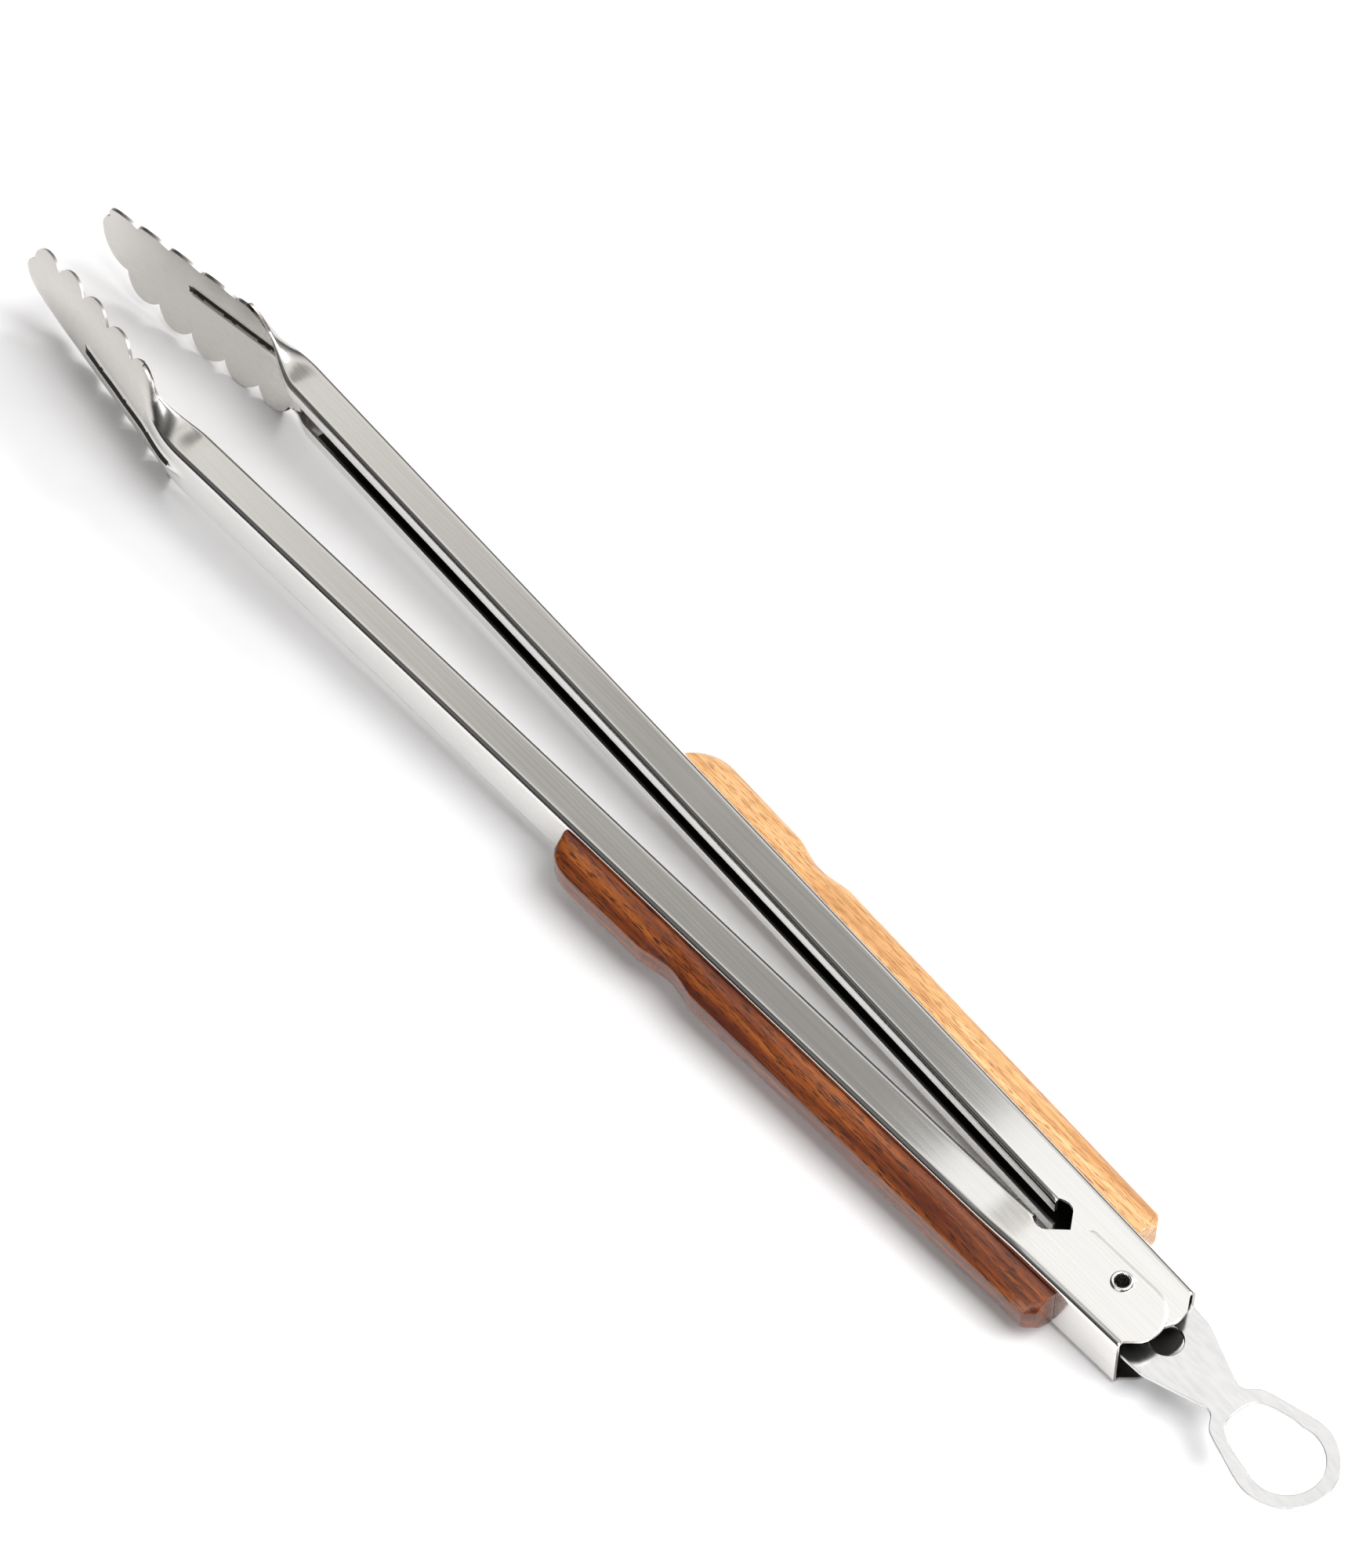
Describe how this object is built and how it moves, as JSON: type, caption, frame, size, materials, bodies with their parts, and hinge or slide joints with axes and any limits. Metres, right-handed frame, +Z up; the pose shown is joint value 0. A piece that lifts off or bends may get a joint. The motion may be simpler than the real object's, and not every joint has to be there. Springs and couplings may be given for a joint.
{
  "type": "spring loaded kitchen tongs",
  "caption": "Long spring loaded kitchen tongs: two steel channel arms with scalloped leaf tips and wooden grips, a hollow rivet pivot and a sliding lock plate with a hanging ring.",
  "frame": {"origin": "on the pivot rivet's axis, level with the underside of the arm channels", "axes": "+X towards the jaws, +Y towards the left arm, +Z up along the rivet"},
  "size_m": [0.4582, 0.049, 0.0342],
  "materials": {
    "arm_steel": "stainless steel sheet, brushed along its length",
    "plate_steel": "stainless steel sheet, smooth satin",
    "fastener_steel": "plain stainless steel",
    "spring_steel": "drawn spring wire",
    "dark_wood": "dark reddish hardwood, satin, fine grain along its length",
    "light_wood": "honey coloured hardwood, satin, fine grain along its length"
  },
  "bodies": {
    "pivot": {"pivot_rivet": "fastener_steel", "pivot_spacer": "fastener_steel", "torsion_spring": "spring_steel"},
    "left_tong": {"left_arm": "arm_steel", "left_grip": "dark_wood", "left_grip_screws": "fastener_steel"},
    "right_tong": {"right_arm": "arm_steel", "right_grip": "light_wood", "right_grip_screws": "fastener_steel"},
    "lock": {"lock_plate": "plate_steel"}
  },
  "joints": [
    {"name": "left_arm_hinge", "type": "hinge", "parent": "pivot", "child": "left_tong", "pos_m": [0, 0, 0], "axis": [0, 0, 1], "range_deg": [-1.4, 5.9], "stiffness_Nm_per_rad": 0.6, "springref_deg": 51.57, "deforming": ["torsion_spring"]},
    {"name": "right_arm_hinge", "type": "hinge", "parent": "pivot", "child": "right_tong", "pos_m": [0, 0, 0], "axis": [0, 0, 1], "range_deg": [-5.9, 1.4], "stiffness_Nm_per_rad": 0.6, "springref_deg": -51.57},
    {"name": "lock_slide", "type": "slide", "parent": "pivot", "child": "lock", "axis": [1, 0, 0], "range_m": [-0.0034, 0.0142]}
  ],
  "couplings": [
    {"joint": "right_arm_hinge", "follows": "left_arm_hinge", "ratio": -1},
    {"joint": "lock_slide", "follows": "left_arm_hinge", "m_per_rad": 0.13751}
  ]
}
